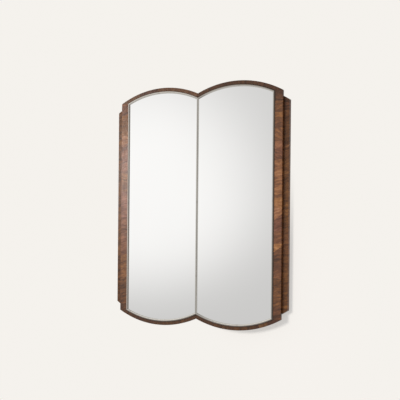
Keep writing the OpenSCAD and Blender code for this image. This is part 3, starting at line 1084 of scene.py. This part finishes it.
class MIRROR_OT_studio(bpy.types.Operator):
    """Sets up the pale wall and floor, the soft light and the camera"""

    bl_idname = "mirror.studio"
    bl_label = "Studio"

    def paper(self, look):
        """Paper that glows evenly, takes a soft shadow at the lower right and is clear behind."""
        f = Finish("studio_paper")
        x, _, z = f.split(f.here())
        right = f.minus(x, SHADOW_AT.x)
        down = f.math("DIVIDE", f.minus(z, SHADOW_AT.z), SHADOW_TALL)
        away = f.math("SQRT", f.plus(f.times(right, right), f.times(down, down)))
        matt = f.fade(away, *SHADOW_FADE, 0.5, 0.0)
        tooth = f.fade(f.noise(f.here(), 300.0), 0.2, 0.8, 0.0, 0.03)
        paper = f.mix(tooth, look.paper, tone("#e9e5df"))
        f.dress(f.mix(matt, BLACK, f.mix(1.0, paper, PAPER_GAIN, "MULTIPLY")), 1.0,
                Specular_IOR_Level=0.0, Emission_Strength=1.0)
        f.feed(f.shader.inputs["Emission Color"], f.mix(matt, paper, BLACK))
        behind = f.node("ShaderNodeNewGeometry").outputs["Backfacing"]
        clear = f.node("ShaderNodeBsdfTransparent").outputs[0]
        both = f.node("ShaderNodeMixShader", {0: behind, 1: f.shader.outputs[0], 2: clear})
        f.feed(f.tree.nodes["Material Output"].inputs["Surface"], both.outputs[0])
        f.material.cycles.emission_sampling = "NONE"
        return f.material

    def sheet(self, name, paper, drop, **turn):
        """A big sheet of paper that only the camera sees."""
        settle()
        bpy.ops.mesh.primitive_plane_add(size=STUDIO_SPAN, location=(0.0, 0.0, MIDDLE - drop),
                                         **turn)
        bpy.ops.object.transform_apply(location=True, rotation=True)
        sheet = bpy.context.object
        sheet.name = name
        sheet.data.materials.append(paper)
        sheet.visible_diffuse = sheet.visible_glossy = sheet.visible_shadow = False
        sheet.visible_transmission = False
        return sheet

    def lamp(self, name, turn, lift, energy, angle, pieces="", tint=LAMP_WHITE):
        """A soft sun, turned from the mirror's front and lifted, in degrees; it lights only the
        pieces whose names end as given, or the whole mirror."""
        turn, lift = math.radians(turn), math.radians(lift)
        towards = Vector((math.sin(turn) * math.cos(lift), -math.cos(turn) * math.cos(lift),
                          math.sin(lift)))
        bpy.ops.object.light_add(type="SUN", location=towards * 4,
                                 rotation=towards.to_track_quat("Z", "Y").to_euler())
        lamp = bpy.context.object
        lamp.name = name
        lamp.data.energy = energy
        lamp.data.angle = angle
        lamp.data.color = tint
        lit = bpy.data.collections.new(f"{name}_lights")
        for piece in bpy.context.scene.objects:
            if piece.name.endswith(pieces) and (pieces or "studio" not in piece.name):
                lit.objects.link(piece)
        lamp.light_linking.receiver_collection = lit
        return lamp

    def room(self, context, look):
        """World light: a pale window at the left, haze round it and dusk at the right."""
        world = bpy.data.worlds.new("studio_room")
        context.scene.world = world
        world.use_nodes = True
        world.node_tree.nodes.clear()
        f = Graph(world.node_tree)
        x, y, z = f.split(f.node("ShaderNodeTexCoord").outputs["Generated"])
        turn = f.math("DEGREES", f.math("ARCTAN2", x, f.times(y, -1.0)))
        lift = f.math("DEGREES", f.math("ARCSINE", z))

        def beyond(value, middle, below, above):
            """How far a value lies from the middle, with 1 at either limit."""
            off = f.minus(value, middle)
            return f.math("MAXIMUM", f.math("DIVIDE", off, above), f.math("DIVIDE", off, -below))

        aside, above = beyond(turn, -32.1, 16.0, 10.3), beyond(lift, 3.1, 7.7, 10.6)
        out = f.plus(f.times(aside, aside), f.times(above, above))
        window = f.math("EXPONENT", f.times(f.times(out, out), -1.0))
        haze = f.times(f.fade(lift, -14.0, 14.0, 0.95, 1.04), look.haze)
        for fade in ((turn, -85.0, -50.0, 1.05, 1.0), (turn, -14.0, 14.0, 1.0, 0.22)):
            haze = f.times(haze, f.fade(*fade))
        haze = f.plus(haze, f.fade(turn, 30.0, 75.0, 0.0, 0.72))
        for fade in ((z, -0.7, -0.2, 1.15, 1.0), (z, 0.25, 0.65, 1.0, 0.92)):
            haze = f.times(haze, f.fade(*fade))
        shine = f.plus(haze, f.times(window, look.window))
        shine = f.times(shine, f.fade(y, 0.0, 0.1, 1.0, 0.6))
        shine = f.mix(1.0, shine, ROOM_TINT, "MULTIPLY")
        fill = f.times(f.fade(y, 0.0, 0.1, 1.0, look.bounce), look.fill)
        fill = f.mix(1.0, fill, look.warmth, "MULTIPLY")
        path = f.node("ShaderNodeLightPath").outputs
        sky = f.mix(path["Is Diffuse Ray"], shine, fill)
        air = f.node("ShaderNodeBackground", {
            "Color": f.mix(path["Is Camera Ray"], sky, look.paper), "Strength": 1.0})
        f.feed(f.node("ShaderNodeOutputWorld").inputs["Surface"], air.outputs[0])

    def camera(self, context):
        bpy.ops.object.camera_add(location=CAMERA_AT)
        camera = context.object
        camera.name = "room_camera"
        aim = Matrix.Identity(3)
        for axis, angle in CAMERA_TURNS:
            aim = aim @ Matrix.Rotation(angle, 3, axis)
        camera.rotation_mode = "QUATERNION"
        camera.rotation_quaternion = (aim @ Matrix.Rotation(math.pi / 2, 3, "X")).to_quaternion()
        camera.data.sensor_width = 36.0
        camera.data.lens = CAMERA_LENS
        camera.data.shift_y = CAMERA_SHIFT
        camera.data.clip_end = 60.0
        context.scene.camera = camera

    def execute(self, context):
        look = context.scene.mirror_studio
        paper = self.paper(look)
        self.sheet("studio_wall", paper, 0.0, rotation=FACING_ROOM)
        self.sheet("studio_floor", paper, FLOOR_DROP)
        self.lamp("soft_lamp", -46, 40, look.lamp, look.softness).visible_glossy = False
        self.lamp("wall_lamp", -31, 18.5, look.lamp * WALL_LAMP, math.radians(17), "_wall",
                  look.glow[:3])
        self.lamp("sheen_lamp", -34, 5.2, look.sheen, math.radians(5), "veneered")
        self.lamp("bead_lamp", -50, 40, look.gleam, math.radians(50), "polished")
        self.lamp("rim_lamp", 138, 38, look.rim, math.radians(40)).visible_glossy = False
        self.room(context, look)
        self.camera(context)
        context.scene.view_settings.view_transform = "Standard"
        return {"FINISHED"}


class MIRROR_PT_pieces(bpy.types.Panel):
    """Lists the pieces and the sizes and colours behind them"""

    bl_label = "Wall Mirror"
    bl_idname = "MIRROR_PT_pieces"
    bl_space_type = "VIEW_3D"
    bl_region_type = "UI"
    bl_category = "Wall Mirror"

    def draw(self, context):
        layout = self.layout
        for operator in OPERATORS:
            layout.operator(operator.bl_idname)
        for group in GROUPS:
            values = getattr(context.scene, group)
            box = layout.box()
            for name in values.__annotations__:
                box.prop(values, name)


OPERATORS = (MIRROR_OT_stiles, MIRROR_OT_arch_rails, MIRROR_OT_beads, MIRROR_OT_panes,
             MIRROR_OT_wings, MIRROR_OT_carcass, MIRROR_OT_wall_clip, MIRROR_OT_clip_screws,
             MIRROR_OT_wall_pads, MIRROR_OT_studio)
GROUPS = {"mirror_sizes": MirrorSizes, "mirror_veneer": VeneerLook,
          "mirror_finish": FinishLook, "mirror_studio": StudioLook}


def register():
    for name, group in GROUPS.items():
        bpy.utils.register_class(group)
        setattr(bpy.types.Scene, name, PointerProperty(type=group))
    for operator in OPERATORS:
        bpy.utils.register_class(operator)
    bpy.utils.register_class(MIRROR_PT_pieces)


def unregister():
    bpy.utils.unregister_class(MIRROR_PT_pieces)
    for operator in reversed(OPERATORS):
        bpy.utils.unregister_class(operator)
    for name, group in reversed(GROUPS.items()):
        delattr(bpy.types.Scene, name)
        bpy.utils.unregister_class(group)


def main():
    register()
    bpy.ops.mirror.stiles()
    bpy.ops.mirror.arch_rails()
    bpy.ops.mirror.beads()
    bpy.ops.mirror.panes()
    bpy.ops.mirror.wings()
    bpy.ops.mirror.carcass()
    bpy.ops.mirror.wall_clip()
    bpy.ops.mirror.clip_screws()
    bpy.ops.mirror.wall_pads()
    bpy.ops.mirror.studio()
    settle()


if __name__ == "__main__":
    main()
